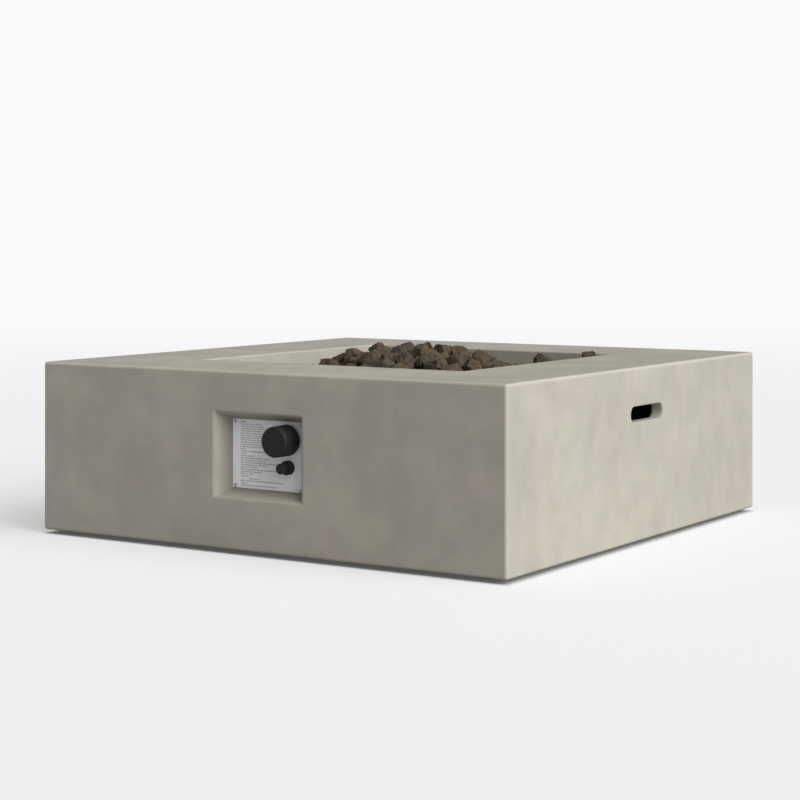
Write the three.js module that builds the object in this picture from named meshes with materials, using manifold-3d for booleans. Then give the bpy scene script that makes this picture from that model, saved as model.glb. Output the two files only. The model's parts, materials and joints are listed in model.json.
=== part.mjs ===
// Square cast-concrete gas fire table: a hollow shell with a splayed control niche, a drop-in
// burner pan under lava rock, and a push-and-turn gas valve with a push-button igniter.
// Millimetres, +Z up, +X to the right and +Y to the back seen from the control side.
// The origin is on the ground under the middle of the shell.
import * as THREE from "three";
import { mergeVertices } from "three/addons/utils/BufferGeometryUtils.js";
import Module from "manifold-3d";

const wasm = await Module();
wasm.setup();

// ---------- driving dimensions ----------
const GAP = 0.3; // between pieces that touch

// shell
const SIDE = 1067;
const SHELL_HEIGHT = 335;
const FOOT_GAP = 8; // shell bottom above the ground
const WALL = 25;
const SLAB = 30; // thickness of the top
const OPENING = 617; // square well
const ARRIS = 6; // rounding of the outer edges
const WELL_ARRIS = 3.5;
const LEDGE_DEPTH = 80; // top of the pan ledge below the rim
const LEDGE_WIDTH = 30;
const LEDGE_THICKNESS = 15;
const GUSSET = 95; // leg of each corner block
const GUSSET_HEIGHT = 50;

// control niche in the front wall
const NICHE_Z = 185.5;
const NICHE_HEIGHT = 160; // at the front face
const NICHE_BACK_HEIGHT = 132.4;
const NICHE_ASPECT = 1.267; // width over height
const NICHE_DEPTH = 35;
const NICHE_WALL = 20;
const WINDOW_WIDTH = 136;
const WINDOW_HEIGHT = 104;

// hand and vent slot in each side wall
const SLOT_LENGTH = 138.5;
const SLOT_HEIGHT = 30;
const SLOT_Y = 9;
const SLOT_Z = 252.5;

// levelling feet
const FOOT_INSET = 35; // from the inner faces of the walls
const PAD_RADIUS = 19;
const STUD_RADIUS = 4.8;
const INSERT_RADIUS = 8;

// control plate and its screws
const PLATE_WIDTH = 166;
const PLATE_HEIGHT = 130;
const PLATE_THICKNESS = 1.5;
const PLATE_SCREW_X = 76;
const PLATE_SCREW_Z = 60.5;

// gas valve, knob and igniter, each on an axis along Y
const VALVE_X = 47.5;
const VALVE_Z = 216.5;
const VALVE_SIZE = 36;
const VALVE_LENGTH = 62;
const VALVE_SCREW_X = 14;
const PORT_Y = -452;
const STEM_RADIUS = 4;
const KNOB_RADIUS = 29;
const KNOB_LENGTH = 42.5;
const KNOB_REACH = 13; // knob face in front of the shell
const IGNITER_X = 48;
const IGNITER_Z = 165.5;
const IGNITER_BEZEL_RADIUS = 13.2;
const IGNITER_NECK_RADIUS = 11.6;
const IGNITER_BORE_RADIUS = 10.3;

// burner group in the middle of the well
const PAN_FLANGE = 600;
const PAN_TRAY = 550;
const PAN_DEPTH = 50;
const PAN_SHEET = 2;
const RING_RADIUS = 150;
const RING_TUBE = 6.5;
const RING_BORE = 5;
const RING_PORTS = 12;
const NIPPLE_RADIUS = 8;
const MIXER_RADIUS = 12;
const MIXER_BOTTOM = 120;
const MIXER_TOP = 200;
const SHUTTER_RADIUS = 14.2;
const SENSOR_X = 12; // electrode and thermocouple, each side of the middle
const SENSOR_Y = -175;

// gas inlet on its bracket behind the front wall
const INLET_X = -170;
const INLET_Y = -440;
const INLET_SHELF_Z = 75;
const HOSE_RADIUS = 5;

// lava rock
const BED_SIZE = 598;
const BED_CELLS = 26;
const HEAP_RADIUS = 225;
const HEAP_RISE = 52;
const BED_SURFACE = -34; // edge of the bed from the rim

// ---------- places worked out from them ----------
const HALF = SIDE / 2;
const RIM_Z = FOOT_GAP + SHELL_HEIGHT;
const FRONT_Y = -HALF;
const INNER = HALF - WALL;
const APRON = OPENING / 2 + WALL;
const LEDGE_Z = RIM_Z - LEDGE_DEPTH;
const PLATE_Y = FRONT_Y + NICHE_DEPTH; // front face of the control plate
const BEHIND_PLATE_Y = PLATE_Y + PLATE_THICKNESS + GAP;
const POCKET_BACK_Y = BEHIND_PLATE_Y + NICHE_WALL;
const KNOB_FACE_Y = FRONT_Y - KNOB_REACH;
const KNOB_BACK_Y = KNOB_FACE_Y + KNOB_LENGTH;
const PAN_FLOOR_Z = LEDGE_Z + GAP - PAN_DEPTH + PAN_SHEET; // inside of the tray
const PAN_UNDER_Z = PAN_FLOOR_Z - PAN_SHEET;
const RING_Z = PAN_FLOOR_Z + 21;
const BED_BOTTOM_Z = RING_Z + RING_TUBE + 8;
const SIDES = [-1, 1];

// ---------- solids ----------
function solidOf(geometry) {
  const bare = geometry.clone();
  bare.deleteAttribute("normal");
  bare.deleteAttribute("uv");
  const merged = mergeVertices(bare, 1e-4);
  return new wasm.Manifold(
    new wasm.Mesh({
      numProp: 3,
      vertProperties: merged.attributes.position.array,
      triVerts: new Uint32Array(merged.index.array),
    }),
  );
}

function geometryOf(solid) {
  const mesh = solid.getMesh();
  const geometry = new THREE.BufferGeometry();
  geometry.setAttribute("position", new THREE.BufferAttribute(mesh.vertProperties, 3));
  geometry.setIndex(new THREE.BufferAttribute(mesh.triVerts, 1));
  const flat = geometry.toNonIndexed();
  flat.computeVertexNormals();
  return flat;
}

function joined(...geometries) {
  const solids = geometries.map(solidOf);
  return geometryOf(solids.reduce((all, next) => all.add(next)));
}

function cut(geometry, ...tools) {
  const solids = tools.map(solidOf);
  return geometryOf(solids.reduce((rest, tool) => rest.subtract(tool), solidOf(geometry)));
}

function box([x0, x1], [y0, y1], [z0, z1]) {
  const geometry = new THREE.BoxGeometry(x1 - x0, y1 - y0, z1 - z0);
  return geometry.translate((x0 + x1) / 2, (y0 + y1) / 2, (z0 + z1) / 2);
}

// A turned piece about +Z from [radius, height] points, anticlockwise from the lowest.
function turned(profile, sides = 20) {
  const points = profile.map(([radius, height]) => new THREE.Vector2(radius, height));
  return new THREE.LatheGeometry(points, sides).rotateX(Math.PI / 2);
}

function rod(radius, z0, z1, sides = 20) {
  return turned([[0, z0], [radius, z0], [radius, z1], [0, z1]], sides);
}

function sleeve(outer, inner, z0, z1, sides = 20) {
  return turned([[inner, z0], [outer, z0], [outer, z1], [inner, z1], [inner, z0]], sides);
}

// Turns a piece made about +Z so that its axis runs along +Y.
function alongY(geometry) {
  return geometry.rotateX(-Math.PI / 2);
}

function alongX(geometry) {
  return geometry.rotateY(Math.PI / 2);
}

// A square block about +Z whose half side follows [half side, height] points.
function squareTurned(profile) {
  const corners = profile.map(([half, height]) => [half * Math.SQRT2, height]);
  return turned(corners, 4).rotateZ(Math.PI / 4);
}

function hexNut(acrossCorners, bore, z0, z1) {
  return cut(rod(acrossCorners / 2, z0, z1, 6), rod(bore, z0 - 1, z1 + 1, 16));
}

function hose(radius, points, steps, sides = 8) {
  const path = new THREE.CatmullRomCurve3(points.map((p) => new THREE.Vector3(...p)));
  const section = new THREE.Shape();
  section.absarc(0, 0, radius, 0, 2 * Math.PI);
  return new THREE.ExtrudeGeometry(section, {
    steps,
    curveSegments: sides / 2, // a full circle takes twice this
    extrudePath: path,
  });
}

function coilSpring(radius, wire, length, turns) {
  const points = [];
  const perTurn = 8;
  for (let i = 0; i <= turns * perTurn; i += 1) {
    const angle = (2 * Math.PI * i) / perTurn;
    const along = wire + ((length - 2 * wire) * i) / (turns * perTurn);
    points.push([radius * Math.cos(angle), along, radius * Math.sin(angle)]);
  }
  return hose(wire, points, turns * perTurn, 6);
}

function roundedSquare(half, radius) {
  const shape = new THREE.Shape();
  shape.absarc(half - radius, half - radius, radius, 0, Math.PI / 2);
  shape.absarc(radius - half, half - radius, radius, Math.PI / 2, Math.PI);
  shape.absarc(radius - half, radius - half, radius, Math.PI, 1.5 * Math.PI);
  shape.absarc(half - radius, radius - half, radius, 1.5 * Math.PI, 2 * Math.PI);
  return shape;
}

// ---------- finishes ----------
const FINISHES = {
  concrete: ["#c3bfb6", 0.85, 0],
  galvanised: ["#9a9c9e", 0.45, 1],
  stainless: ["#b9babb", 0.35, 1],
  brass: ["#b08d4c", 0.4, 1],
  zinc: ["#8f9194", 0.5, 1],
  blackPlastic: ["#1c1c1e", 0.45, 0],
  printedPlate: ["#c2c4c6", 0.4, 0.6],
  ceramic: ["#ece8df", 0.3, 0],
  batteryWrap: ["#4a4d52", 0.35, 0],
  leadSleeve: ["#b9482f", 0.5, 0],
  copper: ["#a8643c", 0.35, 1],
  hoseRubber: ["#26272a", 0.75, 0],
  lavaRock: ["#6a5b52", 0.95, 0],
};

const group = new THREE.Group();

function add(name, geometry, finish, place = [0, 0, 0]) {
  const [color, roughness, metalness] = FINISHES[finish];
  const material = new THREE.MeshStandardMaterial({ color, roughness, metalness });
  const mesh = new THREE.Mesh(geometry, material);
  mesh.name = name;
  mesh.position.set(...place);
  group.add(mesh);
}

// ---------- concrete shell ----------
function outerBlock() {
  const outline = roundedSquare(HALF - ARRIS, 1);
  const block = new THREE.ExtrudeGeometry(outline, {
    depth: SHELL_HEIGHT - 2 * ARRIS,
    bevelThickness: ARRIS,
    bevelSize: ARRIS,
    bevelSegments: 3,
    curveSegments: 3,
  });
  return block.translate(0, 0, FOOT_GAP + ARRIS);
}

function undersideTool() {
  const hollow = box([-INNER, INNER], [-INNER, INNER], [0, RIM_Z - SLAB]);
  const wellWall = box([-APRON, APRON], [-APRON, APRON], [LEDGE_Z - LEDGE_THICKNESS, RIM_Z]);
  const pocketWidth = (NICHE_HEIGHT * NICHE_ASPECT) / 2 + 14;
  const pocketHeight = NICHE_HEIGHT / 2 + 14;
  const pocket = box(
    [-pocketWidth, pocketWidth],
    [-INNER - 1, POCKET_BACK_Y],
    [NICHE_Z - pocketHeight, NICHE_Z + pocketHeight],
  );
  return cut(hollow, wellWall, pocket, ...cornerGussets());
}

function cornerGussets() {
  const outline = new THREE.Shape();
  const over = 1;
  outline.moveTo(over, over);
  outline.lineTo(-GUSSET, over);
  outline.lineTo(over, -GUSSET);
  const gussets = [];
  for (let quarter = 0; quarter < 4; quarter += 1) {
    const prism = new THREE.ExtrudeGeometry(outline, {
      depth: GUSSET_HEIGHT + 10,
      bevelEnabled: false,
    });
    prism.translate(INNER, INNER, FOOT_GAP - 10);
    gussets.push(prism.rotateZ((quarter * Math.PI) / 2));
  }
  return gussets;
}

function wellTool() {
  const half = OPENING / 2;
  const inner = half - LEDGE_WIDTH;
  return squareTurned([
    [0, FOOT_GAP],
    [inner, FOOT_GAP],
    [inner, LEDGE_Z],
    [half, LEDGE_Z],
    [half, RIM_Z - WELL_ARRIS],
    [half + WELL_ARRIS * 0.3, RIM_Z - WELL_ARRIS * 0.3],
    [half + WELL_ARRIS, RIM_Z],
    [half + WELL_ARRIS, RIM_Z + 10],
    [0, RIM_Z + 10],
  ]);
}

function nicheTool() {
  const overshoot = 10; // in front of the face, along the same splay
  const front = NICHE_HEIGHT / 2;
  const back = NICHE_BACK_HEIGHT / 2;
  const splay = (front - back) / NICHE_DEPTH;
  const depth = NICHE_DEPTH + PLATE_THICKNESS + GAP;
  const funnel = squareTurned([
    [0, -overshoot],
    [front + splay * overshoot, -overshoot],
    [back, NICHE_DEPTH],
    [back, depth],
    [0, depth],
  ]);
  return alongY(funnel).scale(NICHE_ASPECT, 1, 1).translate(0, FRONT_Y, NICHE_Z);
}

function windowTool() {
  return box(
    [-WINDOW_WIDTH / 2, WINDOW_WIDTH / 2],
    [PLATE_Y, POCKET_BACK_Y + 5],
    [NICHE_Z - WINDOW_HEIGHT / 2, NICHE_Z + WINDOW_HEIGHT / 2],
  );
}

function slotTool(side) {
  const end = SLOT_HEIGHT / 2;
  const reach = SLOT_LENGTH / 2 - end;
  const outline = new THREE.Shape();
  outline.absarc(0, reach, end, 0, Math.PI);
  outline.absarc(0, -reach, end, Math.PI, 2 * Math.PI);
  const bar = new THREE.ExtrudeGeometry(outline, {
    depth: WALL + 20,
    bevelEnabled: false,
    curveSegments: 10,
  });
  bar.rotateY(Math.PI / 2);
  return bar.translate(side * (HALF - WALL / 2) - (WALL + 20) / 2, SLOT_Y, SLOT_Z);
}

function blindHole(radius, depth) {
  return alongY(rod(radius, -1, depth, 12));
}

function plateScrewPlaces() {
  const places = [];
  for (const up of [1, -1]) {
    for (const side of SIDES) places.push([side * PLATE_SCREW_X, NICHE_Z + up * PLATE_SCREW_Z]);
  }
  return places;
}

const FOOT_AT = HALF - FOOT_INSET - WALL;
const FEET = { fl: [-1, -1], fr: [1, -1], bl: [-1, 1], br: [1, 1] };
const BRACKET_SCREW_X = 20;
const BRACKET_SCREW_Z = 110;

function concreteShell() {
  const tools = [wellTool(), nicheTool(), windowTool(), ...SIDES.map(slotTool)];
  for (const [x, z] of plateScrewPlaces()) {
    tools.push(blindHole(2.4, 14).translate(x, BEHIND_PLATE_Y, z));
  }
  for (const side of SIDES) {
    const hole = blindHole(2.4, 13).rotateZ(Math.PI);
    tools.push(hole.translate(INLET_X + side * BRACKET_SCREW_X, -INNER, BRACKET_SCREW_Z));
  }
  for (const [x, y] of Object.values(FEET)) {
    tools.push(rod(INSERT_RADIUS + GAP, 0, FOOT_GAP + 42).translate(x * FOOT_AT, y * FOOT_AT, 0));
  }
  return cut(outerBlock(), undersideTool(), ...tools);
}

// ---------- levelling feet ----------
function footInsert() {
  const bottom = FOOT_GAP + GAP;
  const top = FOOT_GAP + 41;
  return turned([
    [STUD_RADIUS + 0.4, bottom],
    [INSERT_RADIUS, bottom],
    [INSERT_RADIUS, top],
    [0, top],
    [0, top - 3],
    [STUD_RADIUS + 0.4, top - 3],
    [STUD_RADIUS + 0.4, bottom],
  ], 16);
}

function footStud() {
  const nutTop = 7.6;
  return turned([
    [0, 3.3],
    [STUD_RADIUS, 3.3],
    [STUD_RADIUS, 6.2],
    [7, 6.2],
    [7, nutTop],
    [STUD_RADIUS, nutTop],
    [STUD_RADIUS, 43],
    [0, 43],
  ], 12);
}

function footPad() {
  return turned([
    [0, 0],
    [PAD_RADIUS - 1, 0],
    [PAD_RADIUS, 1],
    [PAD_RADIUS, 3.5],
    [PAD_RADIUS - 5, 5.9],
    [STUD_RADIUS + 0.3, 5.9],
    [STUD_RADIUS + 0.3, 3],
    [0, 3],
  ], 20);
}

// ---------- control plate ----------
function controlPlate() {
  const sheet = box(
    [-PLATE_WIDTH / 2, PLATE_WIDTH / 2],
    [PLATE_Y, PLATE_Y + PLATE_THICKNESS],
    [NICHE_Z - PLATE_HEIGHT / 2, NICHE_Z + PLATE_HEIGHT / 2],
  );
  const through = (radius, x, z) => alongY(rod(radius, -4, 4)).translate(x, PLATE_Y, z);
  const holes = plateScrewPlaces().map(([x, z]) => through(2.4, x, z));
  holes.push(through(STEM_RADIUS + 1.5, VALVE_X, VALVE_Z));
  holes.push(through(IGNITER_NECK_RADIUS + GAP, IGNITER_X, IGNITER_Z));
  for (const side of SIDES) holes.push(through(2.4, VALVE_X + side * VALVE_SCREW_X, VALVE_Z));
  return cut(sheet, ...holes);
}

// Pan-head screw along +Y with the underside of its head at 0.
function panScrew(shank, length, head, height) {
  const profile = [
    [0, -height],
    [head * 0.7, -height],
    [head, -height * 0.4],
    [head, 0],
    [shank, 0],
    [shank, length],
    [0, length],
  ];
  return alongY(turned(profile, 12));
}

// ---------- gas valve ----------
const CHAMBER_FRONT_Y = -485;
const VALVE_BACK_Y = BEHIND_PLATE_Y + VALVE_LENGTH;
const MAGNET_FRONT_Y = -452;
const MAGNET_BACK_Y = -405;
const STEM_BACK_Y = -470;

function valveBody() {
  const half = VALVE_SIZE / 2;
  const block = box([-half, half], [BEHIND_PLATE_Y, VALVE_BACK_Y], [-half, half]);
  const port = (turn) => {
    const boss = alongX(rod(8, half - 2, half + 10, 16));
    const barb = alongX(rod(5.5, half + 9, half + 18, 16));
    return [boss, barb].map((piece) => piece.rotateY(turn).translate(0, PORT_Y, 0));
  };
  const body = joined(block, ...port(0), ...port(Math.PI));
  const tools = [
    alongY(rod(STEM_RADIUS + 0.5, BEHIND_PLATE_Y - 1, CHAMBER_FRONT_Y + 1)),
    alongY(rod(8.2, CHAMBER_FRONT_Y, VALVE_BACK_Y + 1)),
    alongX(rod(3, -half - 25, half + 25, 12)).translate(0, PORT_Y, 0),
    ...SIDES.map((side) => blindHole(2.4, 12).translate(side * VALVE_SCREW_X, BEHIND_PLATE_Y, 0)),
  ];
  return cut(body, ...tools);
}

function valveStem() {
  return alongY(turned([
    [0, KNOB_FACE_Y + 8],
    [STEM_RADIUS, KNOB_FACE_Y + 8],
    [STEM_RADIUS, CHAMBER_FRONT_Y + 3],
    [7.2, CHAMBER_FRONT_Y + 3],
    [7.2, CHAMBER_FRONT_Y + 6],
    [STEM_RADIUS, CHAMBER_FRONT_Y + 6],
    [STEM_RADIUS, STEM_BACK_Y],
    [0, STEM_BACK_Y],
  ]));
}

function magnetUnit() {
  return alongY(turned([
    [0, MAGNET_FRONT_Y],
    [7.8, MAGNET_FRONT_Y],
    [7.8, VALVE_BACK_Y + GAP],
    [10.5, VALVE_BACK_Y + GAP],
    [10.5, VALVE_BACK_Y + 8],
    [6, VALVE_BACK_Y + 8],
    [6, MAGNET_BACK_Y],
    [0, MAGNET_BACK_Y],
  ]));
}

// Moulded drum, open at the back round a hub for the stem.
function controlKnob() {
  const wall = 3;
  const hub = 9;
  const floor = KNOB_FACE_Y + 5;
  return alongY(turned([
    [0, KNOB_FACE_Y],
    [KNOB_RADIUS - 1.2, KNOB_FACE_Y],
    [KNOB_RADIUS, KNOB_FACE_Y + 1.2],
    [KNOB_RADIUS, KNOB_BACK_Y],
    [KNOB_RADIUS - wall, KNOB_BACK_Y],
    [KNOB_RADIUS - wall, floor],
    [hub, floor],
    [hub, KNOB_BACK_Y - 4],
    [STEM_RADIUS + GAP, KNOB_BACK_Y - 4],
    [STEM_RADIUS + GAP, KNOB_FACE_Y + 7.5],
    [0, KNOB_FACE_Y + 7.5],
  ], 32));
}

// ---------- igniter ----------
const IGNITER_FRONT_Y = PLATE_Y - 12;
const IGNITER_BACK_Y = -432;
const BUTTON_FACE_Y = PLATE_Y - 28.5;
const BUTTON_BACK_Y = -495;
const BATTERY_FRONT_Y = -484;
const BATTERY_BACK_Y = -439.5;

function igniterBody() {
  const floor = BATTERY_BACK_Y + GAP;
  return alongY(turned([
    [IGNITER_BORE_RADIUS, IGNITER_FRONT_Y],
    [IGNITER_BEZEL_RADIUS - 0.8, IGNITER_FRONT_Y],
    [IGNITER_BEZEL_RADIUS, IGNITER_FRONT_Y + 0.8],
    [IGNITER_BEZEL_RADIUS, PLATE_Y - GAP],
    [IGNITER_NECK_RADIUS, PLATE_Y - GAP],
    [IGNITER_NECK_RADIUS, IGNITER_BACK_Y],
    [0, IGNITER_BACK_Y],
    [0, floor],
    [IGNITER_BORE_RADIUS, floor],
    [IGNITER_BORE_RADIUS, IGNITER_FRONT_Y],
  ], 32));
}

function igniterButton() {
  const radius = IGNITER_BORE_RADIUS - 0.4;
  return alongY(turned([
    [0, BUTTON_FACE_Y],
    [radius - 1, BUTTON_FACE_Y],
    [radius, BUTTON_FACE_Y + 1],
    [radius, BUTTON_BACK_Y],
    [0, BUTTON_BACK_Y],
  ], 28));
}

function battery() {
  return alongY(turned([
    [0, BATTERY_FRONT_Y],
    [2, BATTERY_FRONT_Y],
    [2, BATTERY_FRONT_Y + 1],
    [5.2, BATTERY_FRONT_Y + 1],
    [5.2, BATTERY_BACK_Y],
    [0, BATTERY_BACK_Y],
  ], 20));
}

// ---------- burner pan and ring ----------
function burnerPan() {
  const flangeZ = LEDGE_Z + GAP;
  const tray = PAN_TRAY / 2;
  const inside = tray - PAN_SHEET;
  const plate = squareTurned([
    [0, PAN_UNDER_Z],
    [tray, PAN_UNDER_Z],
    [tray, flangeZ],
    [PAN_FLANGE / 2, flangeZ],
    [PAN_FLANGE / 2, flangeZ + PAN_SHEET],
    [0, flangeZ + PAN_SHEET],
  ]);
  const hollow = box([-inside, inside], [-inside, inside], [PAN_FLOOR_Z, flangeZ + 10]);
  const drill = (radius) => rod(radius, PAN_UNDER_Z - 2, PAN_FLOOR_Z + 2, 16);
  const hole = (radius, x, y) => drill(radius).translate(x, y, 0);
  const holes = [hole(NIPPLE_RADIUS + 0.6, 0, 0), hole(2.4, 0, SENSOR_Y - 16)];
  for (const side of SIDES) {
    holes.push(hole(3.6, side * SENSOR_X, SENSOR_Y));
    for (const back of SIDES) holes.push(hole(5, side * (inside - 25), back * (inside - 25)));
  }
  return cut(plate, hollow, ...holes);
}

function burnerRing() {
  const round = new THREE.TorusGeometry(RING_RADIUS, RING_TUBE, 8, 40);
  const core = new THREE.TorusGeometry(RING_RADIUS, RING_BORE, 6, 40);
  const bar = alongX(rod(RING_TUBE, -RING_RADIUS, RING_RADIUS, 10));
  const barBore = alongX(rod(RING_BORE - 0.4, -RING_RADIUS, RING_RADIUS, 8));
  const hub = rod(15, -8, 8);
  const hubBore = rod(NIPPLE_RADIUS + GAP, -10, 4, 20);
  const ports = [];
  for (let i = 0; i < RING_PORTS; i += 1) {
    const angle = (2 * Math.PI * (i + 0.5)) / RING_PORTS;
    const port = rod(1.6, 0, RING_TUBE + 3, 6);
    ports.push(port.translate(RING_RADIUS * Math.cos(angle), RING_RADIUS * Math.sin(angle), 0));
  }
  const ring = cut(joined(round, bar, hub), core, barBore, hubBore, ...ports);
  return ring.translate(0, 0, RING_Z);
}

// ---------- air mixer, shutter and orifice ----------
function airWindows(radius) {
  const height = [MIXER_BOTTOM + 18, MIXER_BOTTOM + 34];
  return [box([0, 8], [2, radius + 5], height), box([-8, 0], [-radius - 5, -2], height)];
}

function airMixer() {
  const body = turned([
    [NIPPLE_RADIUS + 0.4, MIXER_BOTTOM],
    [SHUTTER_RADIUS, MIXER_BOTTOM],
    [SHUTTER_RADIUS, MIXER_BOTTOM + 11],
    [MIXER_RADIUS, MIXER_BOTTOM + 11],
    [MIXER_RADIUS, MIXER_TOP],
    [NIPPLE_RADIUS + 0.4, MIXER_TOP],
    [NIPPLE_RADIUS + 0.4, MIXER_BOTTOM],
  ], 32);
  return cut(body, ...airWindows(MIXER_RADIUS));
}

function airShutter() {
  const band = sleeve(SHUTTER_RADIUS, MIXER_RADIUS + 0.6, MIXER_BOTTOM + 12, MIXER_BOTTOM + 40, 32);
  return cut(band, ...airWindows(SHUTTER_RADIUS));
}

function orificeElbow() {
  const tip = rod(NIPPLE_RADIUS, MIXER_BOTTOM - 8, MIXER_BOTTOM + 8, 20);
  const block = box([-11, 11], [-11, 11], [MIXER_BOTTOM - 26, MIXER_BOTTOM - GAP]);
  const armZ = MIXER_BOTTOM - 13;
  const forward = (piece) => alongY(piece).rotateZ(Math.PI).translate(0, 0, armZ);
  const arm = forward(rod(7, 10, 30, 16));
  const barb = forward(rod(5.5, 28, 44, 16));
  const upBore = rod(1.8, armZ, MIXER_BOTTOM + 9, 10);
  const armBore = forward(rod(3, 0, 46, 10));
  return cut(joined(tip, block, arm, barb), upBore, armBore);
}

// ---------- sensor bracket ----------
function sensorBracket() {
  const floor = PAN_FLOOR_Z + GAP;
  const top = PAN_FLOOR_Z + 27;
  const foot = box([-26, 26], [SENSOR_Y - 26, SENSOR_Y - 8], [floor, floor + 1.5]);
  const upright = box([-26, 26], [SENSOR_Y - 9.5, SENSOR_Y - 8], [floor, top]);
  const tab = box([-26, 26], [SENSOR_Y - 9.5, SENSOR_Y + 7], [top - 1.5, top]);
  const tabHole = (side) => rod(3.6, top - 4, top + 2, 16).translate(side * SENSOR_X, SENSOR_Y, 0);
  const holes = SIDES.map(tabHole);
  holes.push(rod(2.4, floor - 1, floor + 3, 12).translate(0, SENSOR_Y - 16, 0));
  return cut(joined(foot, upright, tab), ...holes);
}

// ---------- gas inlet ----------
function inletBracket() {
  const wallY = -INNER + GAP;
  const x = [INLET_X - 32, INLET_X + 32];
  const back = box(x, [wallY, wallY + 2], [INLET_SHELF_Z, INLET_SHELF_Z + 52]);
  const shelf = box(x, [wallY, INLET_Y + 24], [INLET_SHELF_Z, INLET_SHELF_Z + 2]);
  const holes = [rod(9, INLET_SHELF_Z - 3, INLET_SHELF_Z + 5).translate(INLET_X, INLET_Y, 0)];
  for (const side of SIDES) {
    const hole = alongY(rod(2.4, -4, 6, 12));
    holes.push(hole.translate(INLET_X + side * BRACKET_SCREW_X, wallY, BRACKET_SCREW_Z));
  }
  return cut(joined(back, shelf), ...holes);
}

const BULKHEAD_TOP = INLET_SHELF_Z + 26;

function inletBulkhead() {
  const barrel = rod(8.5, INLET_SHELF_Z - 26, BULKHEAD_TOP);
  const collar = rod(14, INLET_SHELF_Z - 8, INLET_SHELF_Z - GAP, 6);
  const bore = rod(4, INLET_SHELF_Z - 30, BULKHEAD_TOP + 5, 12);
  return cut(joined(barrel, collar), bore).translate(INLET_X, INLET_Y, 0);
}

// ---------- lava rock ----------
// Larger stones that stand up from the bed: x, y, radius, rise.
const STONES = [
  [227, 149, 30, 36],
  [272, 272, 26, 34],
  [60, -40, 30, 8],
  [-70, 60, 32, 7],
  [110, 95, 28, 10],
  [-120, -60, 28, 9],
  [20, 130, 30, 9],
  [150, -90, 28, 8],
  [-30, -130, 28, 9],
];

function rockSurface(x, y) {
  const away = Math.hypot(x, y) / HEAP_RADIUS;
  const heap = away < 1 ? HEAP_RISE * Math.cos((away * Math.PI) / 2) ** 0.6 : 0;
  const lumps = 5 * Math.sin(x / 11 + Math.sin(y / 17)) * Math.cos(y / 12 + Math.sin(x / 19));
  let stones = 0;
  for (const [sx, sy, radius, rise] of STONES) {
    const near = Math.hypot(x - sx, y - sy) / radius;
    if (near < 1) stones = Math.max(stones, rise * (1 - near * near));
  }
  return RIM_Z + BED_SURFACE + heap + lumps + stones;
}

function lavaRockBed() {
  const top = RIM_Z + BED_SURFACE;
  const flangeTop = LEDGE_Z + GAP + PAN_SHEET + GAP;
  const bed = new THREE.BoxGeometry(BED_SIZE, BED_SIZE, top - flangeTop, BED_CELLS, BED_CELLS, 1);
  bed.translate(0, 0, (top + flangeTop) / 2);
  const places = bed.attributes.position;
  for (let i = 0; i < places.count; i += 1) {
    const [x, y, z] = [places.getX(i), places.getY(i), places.getZ(i)];
    if (z > top - 1) places.setZ(i, rockSurface(x, y));
  }
  const tray = PAN_TRAY / 2 - PAN_SHEET - 2;
  const lower = box([-tray, tray], [-tray, tray], [BED_BOTTOM_Z, flangeTop + 5]);
  return joined(bed, lower);
}

// ---------- assembly ----------
add("concrete_shell", concreteShell(), "concrete");

for (const [corner, [x, y]] of Object.entries(FEET)) {
  const place = [x * FOOT_AT, y * FOOT_AT, 0];
  add(`foot_insert_${corner}`, footInsert(), "zinc", place);
  add(`foot_stud_${corner}`, footStud(), "galvanised", place);
  add(`foot_pad_${corner}`, footPad(), "blackPlastic", place);
}

add("control_plate", controlPlate(), "printedPlate");
plateScrewPlaces().forEach(([x, z], i) => {
  add(`plate_screw_${i + 1}`, panScrew(2, 13, 3.3, 2), "stainless", [x, PLATE_Y - GAP, z]);
});

const valvePlace = [VALVE_X, 0, VALVE_Z];
add("valve_body", valveBody(), "zinc", valvePlace);
add("valve_stem", valveStem(), "brass", valvePlace);
add("valve_return_spring", coilSpring(5.9, 0.7, 26, 6), "stainless", [VALVE_X, -478.6, VALVE_Z]);
const pinBack = MAGNET_FRONT_Y - 3.5;
add("safety_push_pin", alongY(rod(3, STEM_BACK_Y + GAP, pinBack)), "brass", valvePlace);
add("safety_magnet_unit", magnetUnit(), "brass", valvePlace);
add("control_knob", controlKnob(), "blackPlastic", valvePlace);
SIDES.forEach((side) => {
  const name = side < 0 ? "valve_screw_left" : "valve_screw_right";
  const place = [VALVE_X + side * VALVE_SCREW_X, PLATE_Y - GAP, VALVE_Z];
  add(name, panScrew(2, 11, 3.6, 2.2), "stainless", place);
});

const igniterPlace = [IGNITER_X, 0, IGNITER_Z];
add("igniter_body", igniterBody(), "blackPlastic", igniterPlace);
const igniterNut = hexNut(32, IGNITER_NECK_RADIUS + 0.4, BEHIND_PLATE_Y, BEHIND_PLATE_Y + 6);
add("igniter_nut", alongY(igniterNut), "zinc", igniterPlace);
add("igniter_button", igniterButton(), "blackPlastic", igniterPlace);
const springPlace = [IGNITER_X, BUTTON_BACK_Y + GAP, IGNITER_Z];
add("igniter_spring", coilSpring(6, 0.6, 10.4, 4), "stainless", springPlace);
add("igniter_battery", battery(), "batteryWrap", igniterPlace);

add("burner_pan", burnerPan(), "stainless");
add("burner_ring", burnerRing(), "stainless");
add("burner_nipple", sleeve(NIPPLE_RADIUS, 5.5, 186, RING_Z + 3), "brass");
const nutBore = NIPPLE_RADIUS + 0.4;
add("burner_upper_nut", hexNut(30, nutBore, PAN_FLOOR_Z + GAP, PAN_FLOOR_Z + 9), "brass");
add("burner_lower_nut", hexNut(30, nutBore, PAN_UNDER_Z - 9, PAN_UNDER_Z - GAP), "brass");
add("air_mixer", airMixer(), "brass");
add("air_shutter", airShutter(), "stainless");
add("orifice_elbow", orificeElbow(), "brass");

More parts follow.
